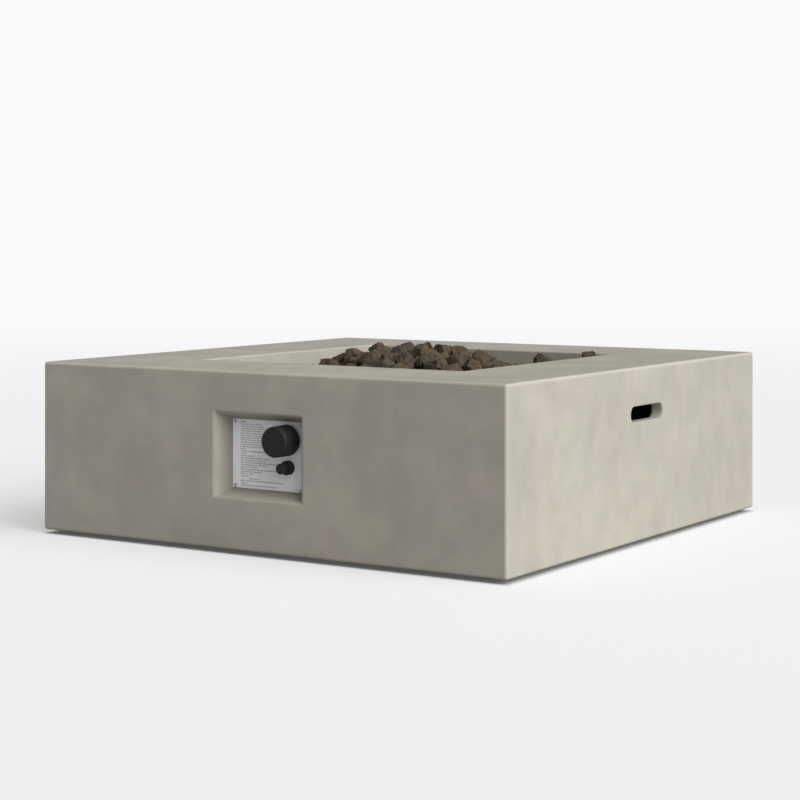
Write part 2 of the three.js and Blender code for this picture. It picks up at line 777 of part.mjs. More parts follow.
const bracketTop = PAN_FLOOR_Z + 27;
add("sensor_bracket", sensorBracket(), "stainless");
const bracketScrew = panScrew(2, 6, 3.6, 2.2).rotateX(-Math.PI / 2);
add("sensor_bracket_screw", bracketScrew, "stainless", [
  0,
  SENSOR_Y - 16,
  PAN_FLOOR_Z + GAP + 1.5 + GAP,
]);
const electrodePlace = [-SENSOR_X, SENSOR_Y, 0];
add("electrode_insulator", rod(3, PAN_UNDER_Z - 18, bracketTop + 4, 16), "ceramic", electrodePlace);
add("electrode_tip", rod(1.2, bracketTop + 4.3, bracketTop + 7.5, 8), "stainless", electrodePlace);
const sensorTip = rod(2.5, PAN_UNDER_Z - 13, bracketTop + 7, 16);
add("thermocouple_tip", sensorTip, "stainless", [SENSOR_X, SENSOR_Y, 0]);

// Leads and hoses, held by the pieces at both ends.
add("ignition_lead", hose(1.6, [
  [-SENSOR_X, SENSOR_Y, PAN_UNDER_Z - 18 - GAP],
  [-SENSOR_X, SENSOR_Y, 180],
  [-10, -190, 152],
  [-4, -220, 134],
  [8, -260, 128],
  [28, -330, 140],
  [44, -385, 160],
  [IGNITER_X, -412, IGNITER_Z],
  [IGNITER_X, IGNITER_BACK_Y + GAP, IGNITER_Z],
], 40, 6), "leadSleeve");

const thermocoupleNutBack = MAGNET_BACK_Y + 11;
const thermocoupleNut = hexNut(13, 1.7, MAGNET_BACK_Y + GAP, thermocoupleNutBack);
add("thermocouple_nut", alongY(thermocoupleNut), "brass", valvePlace);
add("thermocouple_lead", hose(1.3, [
  [SENSOR_X, SENSOR_Y, PAN_UNDER_Z - 13 - GAP],
  [SENSOR_X, SENSOR_Y, 186],
  [14, -190, 166],
  [20, -225, 157],
  [33, -280, 165],
  [44, -330, 192],
  [VALVE_X, -362, 212],
  [VALVE_X, -380, VALVE_Z],
  [VALVE_X, thermocoupleNutBack + GAP, VALVE_Z],
], 40, 6), "copper");

const portReach = VALVE_SIZE / 2 + 18 + GAP;
add("burner_hose", hose(HOSE_RADIUS, [
  [VALVE_X + portReach, PORT_Y, VALVE_Z],
  [VALVE_X + portReach + 10, PORT_Y, VALVE_Z],
  [112, PORT_Y, 210],
  [129, -448, 188],
  [134, -430, 145],
  [112, -370, 92],
  [60, -270, 70],
  [14, -160, 82],
  [0, -96, 104],
  [0, -58, MIXER_BOTTOM - 13],
  [0, -44 - GAP, MIXER_BOTTOM - 13],
], 44), "hoseRubber");

add("supply_hose", hose(HOSE_RADIUS, [
  [INLET_X, INLET_Y, BULKHEAD_TOP + GAP],
  [INLET_X, INLET_Y, 135],
  [INLET_X + 12, -442, 175],
  [-120, -448, 206],
  [-70, PORT_Y, VALVE_Z - 1],
  [-30, PORT_Y, VALVE_Z],
  [VALVE_X - portReach, PORT_Y, VALVE_Z],
], 40), "hoseRubber");

add("inlet_bracket", inletBracket(), "galvanised");
add("inlet_bulkhead", inletBulkhead(), "brass");
const bulkheadNut = hexNut(28, 8.9, INLET_SHELF_Z + 2 + GAP, INLET_SHELF_Z + 8);
add("inlet_bulkhead_nut", bulkheadNut, "brass", [INLET_X, INLET_Y, 0]);
SIDES.forEach((side) => {
  const name = side < 0 ? "inlet_bracket_screw_left" : "inlet_bracket_screw_right";
  const screw = panScrew(2, 12, 4, 2.4).rotateZ(Math.PI);
  const place = [INLET_X + side * BRACKET_SCREW_X, -INNER + GAP + 2 + GAP, BRACKET_SCREW_Z];
  add(name, screw, "stainless", place);
});

add("lava_rock_bed", lavaRockBed(), "lavaRock");

export default group;
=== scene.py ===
import json
import math
import random

import bmesh
import bpy
import numpy as np
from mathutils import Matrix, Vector, noise


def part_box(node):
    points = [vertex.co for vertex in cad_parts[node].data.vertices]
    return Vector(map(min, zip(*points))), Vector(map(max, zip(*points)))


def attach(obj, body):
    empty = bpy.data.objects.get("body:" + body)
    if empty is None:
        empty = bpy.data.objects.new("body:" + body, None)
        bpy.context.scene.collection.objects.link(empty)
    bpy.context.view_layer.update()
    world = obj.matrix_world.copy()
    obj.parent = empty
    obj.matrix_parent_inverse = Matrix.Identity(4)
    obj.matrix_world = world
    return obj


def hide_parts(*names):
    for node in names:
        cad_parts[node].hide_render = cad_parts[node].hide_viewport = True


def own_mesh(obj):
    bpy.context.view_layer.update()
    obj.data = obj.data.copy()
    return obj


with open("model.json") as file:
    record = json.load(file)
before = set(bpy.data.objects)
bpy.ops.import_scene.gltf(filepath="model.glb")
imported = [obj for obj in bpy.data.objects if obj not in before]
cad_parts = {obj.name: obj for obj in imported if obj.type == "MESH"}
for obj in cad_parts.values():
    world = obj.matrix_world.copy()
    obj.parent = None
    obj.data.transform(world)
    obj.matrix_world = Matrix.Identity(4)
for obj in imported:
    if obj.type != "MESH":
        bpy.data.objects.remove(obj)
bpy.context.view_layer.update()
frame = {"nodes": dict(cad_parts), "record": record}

# ---------- viewpoint ----------
# Seen from the front right corner at sitting height, through a long lens held level, so that the
# upright edges stay upright.
camera = bpy.data.objects.new("camera", bpy.data.cameras.new("camera"))
bpy.context.scene.collection.objects.link(camera)
camera.location = (2.186, -3.4146, 0.601)
camera.rotation_euler = (math.radians(90), 0, math.radians(32.99))
camera.data.lens = 87.75
camera.data.shift_y = -0.2095
bpy.context.scene.camera = camera
bpy.context.scene.view_settings.view_transform = "Standard"


# ---------- studio ----------
# A white floor that runs off into a white background, under one very large soft light on the
# right. The light is a broad glow in the sky, so that shadows have no hard edge.
def add(tree, kind, inputs=None, **settings):
    """Adds a node, with its settings, and its inputs as plain values or as links."""
    node = tree.nodes.new(kind)
    for name, value in settings.items():
        setattr(node, name, value)
    for key, value in (inputs or {}).items():
        if isinstance(value, bpy.types.NodeSocket):
            tree.links.new(value, node.inputs[key])
        else:
            node.inputs[key].default_value = value
    return node


def srgb(code):
    """Linear RGBA of an sRGB hex colour."""
    channels = [int(code[i : i + 2], 16) / 255 for i in (1, 3, 5)]
    linear = [c / 12.92 if c <= 0.04045 else ((c + 0.055) / 1.055) ** 2.4 for c in channels]
    return (*linear, 1)


def new_material(name):
    """An empty material and its node tree."""
    material = bpy.data.materials.new(name)
    material.use_nodes = True
    material.node_tree.nodes.clear()
    return material, material.node_tree


GLOW_AZIMUTH = math.radians(-8.6)  # from +X towards +Y
GLOW_HEIGHT = math.radians(34.5)
GLOW_FOCUS = 8.2
GLOW_PEAK = 7.0
SKY_FILL = 0.192
BACKDROP = 0.95  # radiance of the white background

world = bpy.data.worlds.new("studio")
bpy.context.scene.world = world
world.use_nodes = True
tree = world.node_tree
tree.nodes.clear()
glow_from = (
    math.cos(GLOW_HEIGHT) * math.cos(GLOW_AZIMUTH),
    math.cos(GLOW_HEIGHT) * math.sin(GLOW_AZIMUTH),
    math.sin(GLOW_HEIGHT),
)
direction = add(tree, "ShaderNodeTexCoord").outputs["Generated"]
facing = add(tree, "ShaderNodeVectorMath", {0: direction, 1: glow_from}, operation="DOT_PRODUCT")
towards = add(tree, "ShaderNodeMath", {0: facing.outputs["Value"], 1: 0.0}, operation="MAXIMUM")
focused = add(tree, "ShaderNodeMath", {0: towards.outputs[0], 1: GLOW_FOCUS}, operation="POWER")
glow = add(
    tree,
    "ShaderNodeMath",
    {0: focused.outputs[0], 1: GLOW_PEAK, 2: SKY_FILL},
    operation="MULTIPLY_ADD",
)
lit = add(tree, "ShaderNodeBackground", {"Color": (1, 1, 1, 1), "Strength": glow.outputs[0]})
white = add(tree, "ShaderNodeBackground", {"Color": (1, 1, 1, 1), "Strength": BACKDROP})
seen = add(tree, "ShaderNodeLightPath").outputs["Is Camera Ray"]
sky = add(tree, "ShaderNodeMixShader", {0: seen, 1: lit.outputs[0], 2: white.outputs[0]})
add(tree, "ShaderNodeOutputWorld", {"Surface": sky.outputs[0]})

FLOOR_REACH = 300
FLOOR_FADE = (2.5, 9.0)  # metres from the table, where the floor turns into background
UNDERLIGHT = 0.42  # the floor glows a little itself, so that shadows on it stay pale
# Under the table the glow is cut down: a painted contact shadow.
UNDER_TABLE = 0.07  # what is left of that glow under the table
UNDER_EDGE = 0.009  # metres each side of the table's edge where it drops

floor_paint, tree = new_material("white_floor_paint")
place = add(tree, "ShaderNodeTexCoord").outputs["Object"]
distance = add(tree, "ShaderNodeVectorMath", {0: place}, operation="LENGTH").outputs["Value"]
fade = add(
    tree,
    "ShaderNodeMapRange",
    {"Value": distance, "From Min": FLOOR_FADE[0], "From Max": FLOOR_FADE[1]},
    interpolation_type="SMOOTHSTEP",
)
paint = add(tree, "ShaderNodeBsdfDiffuse", {"Color": srgb("#b6b6b6")})
seen = add(tree, "ShaderNodeLightPath").outputs["Is Camera Ray"]
table_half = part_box("concrete_shell")[1].x
outwards = add(tree, "ShaderNodeVectorMath", {0: place}, operation="ABSOLUTE").outputs[0]
sides = add(tree, "ShaderNodeSeparateXYZ", {0: outwards}).outputs
reach = add(tree, "ShaderNodeMath", {0: sides[0], 1: sides[1]}, operation="MAXIMUM").outputs[0]
# The glow drops at the table's edge to UNDER_TABLE under it, which paints a contact shadow under the
# table.
glow_with_painted_table_shadow = add(
    tree,
    "ShaderNodeMapRange",
    {
        "Value": reach,
        "From Min": table_half - UNDER_EDGE,
        "From Max": table_half + UNDER_EDGE,
        "To Min": UNDER_TABLE,
        "To Max": UNDERLIGHT,
    },
    interpolation_type="SMOOTHSTEP",
)
panel = add(tree, "ShaderNodeMath", {0: seen, 1: glow_with_painted_table_shadow.outputs[0]}, operation="MULTIPLY")
underlit = add(tree, "ShaderNodeEmission", {"Color": (1, 1, 1, 1), "Strength": panel.outputs[0]})
floor_light = add(tree, "ShaderNodeAddShader", {0: paint.outputs[0], 1: underlit.outputs[0]})
backdrop = add(tree, "ShaderNodeEmission", {"Color": (1, 1, 1, 1), "Strength": BACKDROP})
mixed = add(
    tree,
    "ShaderNodeMixShader",
    {0: fade.outputs[0], 1: floor_light.outputs[0], 2: backdrop.outputs[0]},
)
add(tree, "ShaderNodeOutputMaterial", {"Surface": mixed.outputs[0]})

sheet = bmesh.new()
bmesh.ops.create_grid(sheet, x_segments=2, y_segments=2, size=FLOOR_REACH)
floor_mesh = bpy.data.meshes.new("studio_floor")
sheet.to_mesh(floor_mesh)
studio_floor = bpy.data.objects.new("studio_floor", floor_mesh)
studio_floor.data.materials.append(floor_paint)
bpy.context.scene.collection.objects.link(studio_floor)


# ---------- concrete shell ----------
# One hollow casting of fibre-reinforced concrete, poured upside down in a mould: thin walls, a
# ledge in the well for the burner pan, a splayed niche for the controls and a hand slot in each
# side. Every mould corner is eased, because a sharp one would chip.
shell_low, shell_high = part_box("concrete_shell")
plate_low, plate_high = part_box("control_plate")
pan_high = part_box("burner_pan")[1]
HALF = shell_high.x
RIM = shell_high.z
CORNER = 0.007
ARRIS = 0.006
WALL = 0.025
SLAB = 0.030
WELL_HALF = 0.3085
WELL_CORNER = 0.005
WELL_ARRIS = 0.0035
LEDGE = pan_high.z - 0.0023  # the pan's flange, 2 mm thick, rests on it with its gap
LEDGE_WIDTH = 0.030
LEDGE_THICKNESS = 0.015
NICHE_Z = (plate_low.z + plate_high.z) / 2
NICHE_ASPECT = 1.267
NICHE_HALF = 0.080
NICHE_BACK_HALF = 0.0662
NICHE_ARRIS = 0.004
WINDOW = (0.068, 0.052)  # half width and half height of the opening behind the plate
POCKET_WALL = 0.020
POCKET_MARGIN = 0.014
SLOT_HALF = 0.06925
SLOT_RADIUS = 0.015
SLOT_Y = 0.009
SLOT_Z = 0.2525
SLOT_ARRIS = 0.0025
GUSSET = 0.095  # along the walls, of the blocks in the corners
GUSSET_TOP = 0.058
HOLLOW_CORNER = 0.012
BLIND_HOLE = 0.0024
BRACKET_SCREWS = ("inlet_bracket_screw_left", "inlet_bracket_screw_right")
GAP = 0.0003  # clearance between parts that meet
OVER = 0.010  # how far a cutting form runs past the face that it opens


def rounded(half_a, half_b, radius, steps=6):
    """Corner-rounded rectangle as (a, b) pairs, anticlockwise."""
    points = []
    for quarter, (a, b) in enumerate(((1, 1), (-1, 1), (-1, -1), (1, -1))):
        for step in range(steps + 1):
            angle = (quarter + step / steps) * math.pi / 2
            points.append(
                (
                    a * (half_a - radius) + radius * math.cos(angle),
                    b * (half_b - radius) + radius * math.sin(angle),
                )
            )
    return points


def circle(radius, steps=24):
    turns = [2 * math.pi * step / steps for step in range(steps)]
    return [(radius * math.cos(turn), radius * math.sin(turn)) for turn in turns]


def eased(radius, steps=6):
    """(inset, depth) pairs down a rounded edge, from the face to the end of the rounding."""
    turns = [math.pi / 2 * step / steps for step in range(steps + 1)]
    return [(radius * (1 - math.sin(turn)), radius * (1 - math.cos(turn))) for turn in turns]


def mesh_piece(name, mesh):
    piece = bpy.data.objects.new(name, mesh)
    bpy.context.scene.collection.objects.link(piece)
    return piece


def shaped(name, shape):
    """A piece made from a finished bmesh, with its faces turned outwards."""
    bmesh.ops.recalc_face_normals(shape, faces=shape.faces)
    mesh = bpy.data.meshes.new(name)
    shape.to_mesh(mesh)
    shape.free()
    return mesh_piece(name, mesh)


def lofted(name, rings):
    """A closed solid through rings of equally many points."""
    solid = bmesh.new()
    loops = [[solid.verts.new(point) for point in ring] for ring in rings]
    for low, high in zip(loops, loops[1:]):
        for i in range(len(low)):
            j = (i + 1) % len(low)
            solid.faces.new((low[i], low[j], high[j], high[i]))
    solid.faces.new(loops[0])
    solid.faces.new(loops[-1])
    return shaped(name, solid)


def upright(outline, z):
    return [(a, b, z) for a, b in outline]


def carve(piece, tool, operation="DIFFERENCE"):
    """Cuts the tool out of the piece, or joins it on, and throws the tool away."""
    modifier = piece.modifiers.new("carve", "BOOLEAN")
    modifier.operation = operation
    modifier.solver = "EXACT"
    modifier.object = tool
    bpy.context.view_layer.update()
    graph = bpy.context.evaluated_depsgraph_get()
    carved = bpy.data.meshes.new_from_object(piece.evaluated_get(graph))
    piece.modifiers.clear()
    piece.data = carved
    bpy.data.objects.remove(tool)


def soften(piece, angle):
    """Smooth shading over rounded edges, with the flat faces kept flat."""
    piece.data.shade_smooth()
    piece.data.set_sharp_from_angle(angle=math.radians(angle))
    weighted = piece.modifiers.new("even_shading", "WEIGHTED_NORMAL")
    weighted.keep_sharp = True


def fit(piece, body, slot, material, *nodes):
    """Gives a made piece its finish and fixes it to a body, in place of the nodes it stands for."""
    piece.data.materials.clear()
    piece.data.materials.append(material)
    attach(piece, body)
    if nodes:
        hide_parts(*nodes)


def block(name, half_x, half_y, radius, bottom, top, centre=(0, 0)):
    outline = [(a + centre[0], b + centre[1]) for a, b in rounded(half_x, half_y, radius)]
    return lofted(name, [upright(outline, bottom), upright(outline, top)])


def shell_block():
    """The outside of the casting, with its upright corners and both its rims rounded."""
    rings = []
    for inset, depth in eased(ARRIS):
        outline = rounded(HALF - inset, HALF - inset, CORNER - inset)
        rings.append(upright(outline, shell_low.z + depth))
    for inset, depth in reversed(eased(ARRIS)):
        outline = rounded(HALF - inset, HALF - inset, CORNER - inset)
        rings.append(upright(outline, RIM - depth))
    return lofted("concrete_shell_cast", rings)


def well_form():
    """The square well: a ledge for the pan, and a rim that flares over its rounded edge."""
    throat = WELL_HALF - LEDGE_WIDTH
    rings = [
        upright(rounded(throat, throat, WELL_CORNER), shell_low.z - OVER),
        upright(rounded(throat, throat, WELL_CORNER), LEDGE),
        upright(rounded(WELL_HALF, WELL_HALF, WELL_CORNER), LEDGE),
    ]
    for flare, depth in reversed(eased(WELL_ARRIS)):
        half = WELL_HALF + flare
        rings.append(upright(rounded(half, half, WELL_CORNER + flare), RIM - depth))
    half = WELL_HALF + WELL_ARRIS
    rings.append(upright(rounded(half, half, WELL_CORNER + WELL_ARRIS), RIM + OVER))
    return lofted("well_form", rings)


def niche_form():
    """The control niche, which narrows from the face of the wall to the control plate."""
    front = -HALF
    back = plate_high.y + GAP

    def ring(half, radius, y):
        outline = rounded(half * NICHE_ASPECT, half, radius)
        return [(a, y, NICHE_Z + b) for a, b in outline]

    rings = [ring(NICHE_HALF + NICHE_ARRIS, 0.007, front - OVER)]
    splay = (NICHE_HALF - NICHE_BACK_HALF) / (plate_low.y - front)
    for flare, depth in eased(NICHE_ARRIS):
        rings.append(ring(NICHE_HALF + flare - splay * depth, 0.003 + flare, front + depth))
    rings.append(ring(NICHE_BACK_HALF, 0.002, plate_low.y))
    rings.append(ring(NICHE_BACK_HALF, 0.002, back))
    return lofted("niche_form", rings)


def slot_form(side):
    """A round-ended hand slot through a side wall, eased on both faces."""
    inner = HALF - WALL

    def ring(flare, x):
        outline = rounded(SLOT_HALF + flare, SLOT_RADIUS + flare, SLOT_RADIUS + flare - 1e-5, 10)
        return [(side * x, SLOT_Y + a, SLOT_Z + b) for a, b in outline]

    rings = [ring(SLOT_ARRIS, HALF + OVER)]
    rings += [ring(flare, HALF - depth) for flare, depth in eased(SLOT_ARRIS)]
    rings += [ring(flare, inner + depth) for flare, depth in reversed(eased(SLOT_ARRIS))]
    rings.append(ring(SLOT_ARRIS, inner - OVER))
    return lofted("slot_form", rings)


def underside_form():
    """The hollow under the top: what is left around the well wall, the control pocket and the
    corner blocks that carry the feet."""
    inner = HALF - WALL
    hollow = block("hollow", inner, inner, HOLLOW_CORNER, shell_low.z - OVER, RIM - SLAB)
    apron = WELL_HALF + WALL
    ledge_under = LEDGE - LEDGE_THICKNESS
    carve(hollow, block("well_wall", apron, apron, HOLLOW_CORNER, ledge_under, RIM))
    pocket_half = NICHE_HALF + POCKET_MARGIN
    pocket_back = plate_high.y + GAP + POCKET_WALL
    pocket_front = -inner - OVER
    pocket = block(
        "control_pocket",
        NICHE_HALF * NICHE_ASPECT + POCKET_MARGIN,
        (pocket_back - pocket_front) / 2,
        0.004,
        NICHE_Z - pocket_half,
        NICHE_Z + pocket_half,
        (0, (pocket_back + pocket_front) / 2),
    )
    carve(hollow, pocket)
    over = 0.002
    for a, b in ((1, 1), (-1, 1), (-1, -1), (1, -1)):
        corner = [
            (inner + over, inner + over),
            (inner - GUSSET, inner + over),
            (inner + over, inner - GUSSET),
        ]
        outline = [(a * x, b * y) for x, y in corner]
        carve(
            hollow,
            lofted(
                "corner_block",
                [upright(outline, shell_low.z - 2 * OVER), upright(outline, GUSSET_TOP)],
            ),
        )
    return hollow


def hole_form(centre, radius, start, end, upwards=False):
    """A round drill from start to end, along Z if it goes upwards and else along Y."""
    outline = [(centre[0] + a, centre[1] + b) for a, b in circle(radius)]
    if upwards:
        return lofted("hole_form", [upright(outline, z) for z in (start, end)])
    return lofted("hole_form", [[(a, y, b) for a, b in outline] for y in (start, end)])


def middle(node):
    low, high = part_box(node)
    return (low + high) / 2


def cast_concrete():
    """Sealed cast concrete: clouded warm grey where water and release oil moved against the
    mould, dull, with a fine sandy grain and slightly paler edges, worn pale with a painted
    highlight. Painted shade darkens the walls of the control niche towards its plate."""
    material, tree = new_material("sealed_cast_concrete")
    place = add(tree, "ShaderNodeTexCoord").outputs["Object"]

    def cloud(size, detail, offset, stretch=(1, 1, 1)):
        """0 to 1 noise whose patches are about that many millimetres across."""
        moved = add(
            tree,
            "ShaderNodeMapping",
            {"Vector": place, "Location": offset, "Scale": stretch},
        )
        texture = add(
            tree,
            "ShaderNodeTexNoise",
            {"Vector": moved.outputs[0], "Scale": 1000 / size, "Detail": detail, "Roughness": 0.55},
        )
        return texture.outputs["Fac"]

    def spread(value, low, high):
        """Stretches the middle of a noise to 0 to 1."""
        node = add(
            tree,
            "ShaderNodeMapRange",
            {"Value": value, "From Min": low, "From Max": high},
            interpolation_type="SMOOTHSTEP",
        )
        return node.outputs[0]

    def blend(amount, first, second):
        node = add(tree, "ShaderNodeMix", {0: amount, 6: first, 7: second}, data_type="RGBA")
        return node.outputs[2]

    def scaled(value, factor):
        return add(tree, "ShaderNodeMath", {0: value, 1: factor}, operation="MULTIPLY").outputs[0]

    colour = blend(spread(cloud(190, 3, (0, 0, 0)), 0.36, 0.64), srgb("#a6a297"), srgb("#b1ada1"))
    warm = scaled(spread(cloud(120, 2, (3, 1, 7)), 0.5, 0.72), 0.6)
    colour = blend(warm, colour, srgb("#b5a9a0"))
    cool = scaled(spread(cloud(140, 2, (8, 5, 2)), 0.52, 0.72), 0.45)
    colour = blend(cool, colour, srgb("#a4a699"))
    streaks = scaled(spread(cloud(45, 3, (1, 9, 4), (1, 1, 0.22)), 0.42, 0.66), 0.16)
    colour = blend(streaks, colour, srgb("#bbb6ab"))
    patches = scaled(spread(cloud(62, 3, (6, 2, 9)), 0.42, 0.66), 0.42)
    colour = blend(patches, colour, srgb("#9f9b90"))
    grain = scaled(cloud(2.2, 2, (0, 0, 0)), 0.16)
    colour = blend(grain, colour, srgb("#938f83"))

    # The outer edges: there, two of the distances to the outside planes are both small.
    outside = add(tree, "ShaderNodeVectorMath", {0: place}, operation="ABSOLUTE").outputs[0]
    apart = add(
        tree,
        "ShaderNodeVectorMath",
        {0: (HALF, HALF, RIM), 1: outside},
        operation="SUBTRACT",
    )
    split = add(tree, "ShaderNodeSeparateXYZ", {0: apart.outputs[0]})
    to_x, to_y, to_z = split.outputs
    nearer = add(tree, "ShaderNodeMath", {0: to_x, 1: to_y}, operation="MINIMUM").outputs[0]
    further = add(tree, "ShaderNodeMath", {0: to_x, 1: to_y}, operation="MAXIMUM").outputs[0]
    capped = add(tree, "ShaderNodeMath", {0: further, 1: to_z}, operation="MINIMUM").outputs[0]
    second = add(tree, "ShaderNodeMath", {0: nearer, 1: capped}, operation="MAXIMUM").outputs[0]
    # Paler outer edges: worn pale, and a painted highlight along the rounded arrises.
    worn_and_highlit_edges = add(
        tree,
        "ShaderNodeMapRange",
        {"Value": second, "From Min": 0.009, "From Max": 0.0, "To Max": 0.45},
        interpolation_type="SMOOTHSTEP",
    )
    colour = blend(worn_and_highlit_edges.outputs[0], colour, srgb("#c2bdb0"))

    # Painted shade: the walls of the control niche are darkened towards its plate, as shade in the
    # recess.
    into_front = spread(to_y, 0.004, 0.034)
    below_rim = spread(to_z, 0.045, 0.055)
    off_sides = spread(to_x, 0.3, 0.32)
    recess = add(tree, "ShaderNodeMath", {0: into_front, 1: below_rim}, operation="MULTIPLY")
    recess = add(tree, "ShaderNodeMath", {0: recess.outputs[0], 1: off_sides}, operation="MULTIPLY")
    # The darker colour mixed in here is the painted shade of the niche.
    colour = blend(scaled(recess.outputs[0], 0.55), colour, srgb("#7d796f"))

    roughness = add(
        tree,
        "ShaderNodeMapRange",
        {"Value": cloud(60, 3, (4, 4, 4)), "To Min": 0.7, "To Max": 0.88},
    )
    sand = cloud(1.6, 3, (2, 2, 2))
    ripple = cloud(55, 2, (5, 5, 5))
    fine = add(
        tree,
        "ShaderNodeBump",
        {"Height": sand, "Strength": 0.25, "Distance": 0.0004},
    )
    bump = add(
        tree,
        "ShaderNodeBump",
        {"Height": ripple, "Strength": 0.3, "Distance": 0.0012, "Normal": fine.outputs[0]},
    )
    surface = add(
        tree,
        "ShaderNodeBsdfPrincipled",
        {
            "Base Color": colour,
            "Roughness": roughness.outputs[0],
            "IOR": 1.5,
            "Normal": bump.outputs[0],
        },
    )
    surface.inputs["Specular IOR Level"].default_value = 0.3
    add(tree, "ShaderNodeOutputMaterial", {"Surface": surface.outputs[0]})
    return material


shell = shell_block()
carve(shell, underside_form())
carve(shell, well_form())
carve(shell, niche_form())
window = [
    [(a, y, NICHE_Z + b) for a, b in rounded(*WINDOW, 0.006)]
    for y in (plate_low.y, plate_high.y + POCKET_WALL + OVER)
]
carve(shell, lofted("window_form", window))
for side in (-1, 1):
    carve(shell, slot_form(side))
behind_plate = plate_high.y + GAP
for number in range(1, 5):
    screw = middle(f"plate_screw_{number}")
    ends = (behind_plate - 0.001, behind_plate + 0.014)
    carve(shell, hole_form((screw.x, screw.z), BLIND_HOLE, *ends))
for name in BRACKET_SCREWS:
    screw = middle(name)
    ends = (WALL - HALF + 0.001, WALL - HALF - 0.013)
    carve(shell, hole_form((screw.x, screw.z), BLIND_HOLE, *ends))
for corner in ("fl", "fr", "bl", "br"):
    insert_low, insert_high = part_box(f"foot_insert_{corner}")
    centre = (insert_low + insert_high) / 2
    hole = (insert_high.x - insert_low.x) / 2 + GAP
    carve(shell, hole_form(centre.xy, hole, 0, insert_high.z + 0.001, upwards=True))
soften(shell, 40)
fit(shell, "base", "concrete", cast_concrete(), "concrete_shell")


# ---------- control plate ----------
# A satin sheet of coated steel screwed to the back of the niche, with a pale stripe and a panel
# of operating notes. The notes are only grey dashes in rows, with nothing to read in them.
def coated_sheet():
    """Light grey coated steel: nearly even, satin, with a faint rolled grain along X."""
    material, tree = new_material("satin_coated_steel_sheet")
    place = add(tree, "ShaderNodeTexCoord").outputs["Object"]
    rolled = add(tree, "ShaderNodeMapping", {"Vector": place, "Scale": (0.05, 1, 1)})
    grain = add(
        tree,
        "ShaderNodeTexNoise",
        {"Vector": rolled.outputs[0], "Scale": 1000, "Detail": 2},
    )
    cloudy = add(tree, "ShaderNodeTexNoise", {"Vector": place, "Scale": 30, "Detail": 2})
    tone = add(
        tree,
        "ShaderNodeMix",
        {0: cloudy.outputs["Fac"], 6: srgb("#ececf0"), 7: srgb("#f5f5f5")},
        data_type="RGBA",
    )
    dull = add(
        tree,
        "ShaderNodeMapRange",
        {"Value": grain.outputs["Fac"], "To Min": 0.34, "To Max": 0.46},
    )
    surface = add(
        tree,
        "ShaderNodeBsdfPrincipled",
        {
            "Base Color": tone.outputs[2],
            "Metallic": 0.0,
            "Roughness": dull.outputs[0],
            "IOR": 1.5,
        },
    )
    add(tree, "ShaderNodeOutputMaterial", {"Surface": surface.outputs[0]})
    return material


def printed(name, light, dark):
    """Screen-printed ink: flat and matt, slightly uneven in strength from dash to dash."""
    material, tree = new_material(name)
    place = add(tree, "ShaderNodeTexCoord").outputs["Object"]
    uneven = add(tree, "ShaderNodeTexNoise", {"Vector": place, "Scale": 260, "Detail": 1})
    tone = add(
        tree,
        "ShaderNodeMix",
        {0: uneven.outputs["Fac"], 6: srgb(light), 7: srgb(dark)},
        data_type="RGBA",
    )
    surface = add(
        tree,
        "ShaderNodeBsdfPrincipled",
        {"Base Color": tone.outputs[2], "Roughness": 0.6, "IOR": 1.5},
    )
    add(tree, "ShaderNodeOutputMaterial", {"Surface": surface.outputs[0]})
    return material


ROW_PITCH = 0.00425
ROW_HEIGHT = 0.0017
ROW_START = 0.0185  # from the left edge of the plate
FIRST_ROW = 0.0055  # below the top edge
INK = 0.00004  # thickness of the print
STRIPE = (0.0108, 0.0165)
# Length of each row in millimetres, from the top: short ones are headings.
ROWS = (12, 50, 57, 62, 53, 56, 54, 53, 54, 52, 53, 54, 13, 60, 14, 32, 67, 60, 88, 63, 39, 86, 50, 31)
LAST_ROWS = ((0, 18), (20, 23), (0, 100), (0, 15), (0, 82))  # indent and length
BROWN_ROWS = (12,)


def dashes(name, marks, material):
    """Printed marks: thin flat bars on the face of the plate, from (x, z, width, height)."""
    print_mesh = bmesh.new()
    for x, z, width, height in marks:
        corners = rounded(width / 2, height / 2, min(width, height) * 0.3, 2)
        loops = []
        for y in (plate_low.y - INK, plate_low.y):
            loops.append([print_mesh.verts.new((x + width / 2 + a, y, z + b)) for a, b in corners])
        for i in range(len(corners)):
            j = (i + 1) % len(corners)
            print_mesh.faces.new((loops[0][i], loops[0][j], loops[1][j], loops[1][i]))
        print_mesh.faces.new(loops[0])
        print_mesh.faces.new(loops[1])
    fit(shaped(name, print_mesh), "base", "printed_plate", material)


word = random.Random(11)
notes = []
headings = []
all_rows = [(0, length) for length in ROWS] + list(LAST_ROWS)
for row, (indent, length) in enumerate(all_rows):
    z = plate_high.z - FIRST_ROW - row * ROW_PITCH
    x = plate_low.x + ROW_START + indent / 1000
    end = x + length / 1000
    while x < end:
        width = min(word.uniform(0.0025, 0.0085), end - x)
        (headings if row in BROWN_ROWS else notes).append((x, z, max(width, 0.001), ROW_HEIGHT))
        x += width + word.uniform(0.0009, 0.0014)
dashes("plate_notes", notes, printed("grey_screen_ink", "#a09fa0", "#8a8a8c"))
dashes("plate_heading", headings, printed("brown_grey_screen_ink", "#a1938f", "#8d7e7b"))
stripe_height = plate_high.z - plate_low.z - 0.002
stripe = [(plate_low.x + STRIPE[0], NICHE_Z, STRIPE[1] - STRIPE[0], stripe_height)]
dashes("plate_stripe", stripe, printed("white_screen_ink", "#f6f7fb", "#eff1f6"))


